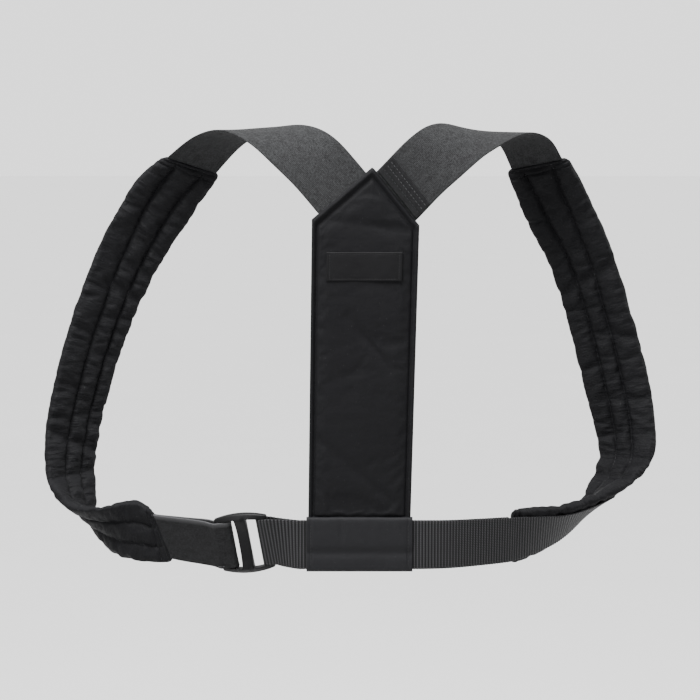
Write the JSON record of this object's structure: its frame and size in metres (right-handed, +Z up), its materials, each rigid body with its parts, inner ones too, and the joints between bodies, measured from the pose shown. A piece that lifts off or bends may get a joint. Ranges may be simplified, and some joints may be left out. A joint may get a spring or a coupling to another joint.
{
  "type": "posture corrector",
  "caption": "Worn back harness: padded back panel, elastic shoulder straps, quilted shoulder pads and a webbing belt with a slider buckle.",
  "frame": {"origin": "middle of the back panel's flat inner face, which bears between the wearer's shoulder blades", "axes": "+Z up, +Y forward through the wearer, +X to the wearer's right"},
  "size_m": [0.5213, 0.1414, 0.3634],
  "materials": {
    "panel_cloth": "matt black woven cloth",
    "pad_cloth": "matt black brushed cloth, quilted",
    "elastic": "black ribbed elastic",
    "webbing": "black cross-ribbed webbing",
    "label_weave": "black woven satin, bare",
    "buckle_plastic": "satin black moulded plastic"
  },
  "bodies": {
    "root": {"back_panel": "panel_cloth", "label_patch": "label_weave", "belt_sleeve": "panel_cloth", "shoulder_elastic_left": "elastic", "shoulder_elastic_right": "elastic", "elastic_cuff_right": "elastic", "shoulder_pad_left": "pad_cloth", "shoulder_pad_right": "pad_cloth", "waist_elastic": "elastic", "slider_buckle": "buckle_plastic", "belt_webbing": "webbing"}
  },
  "joints": []
}
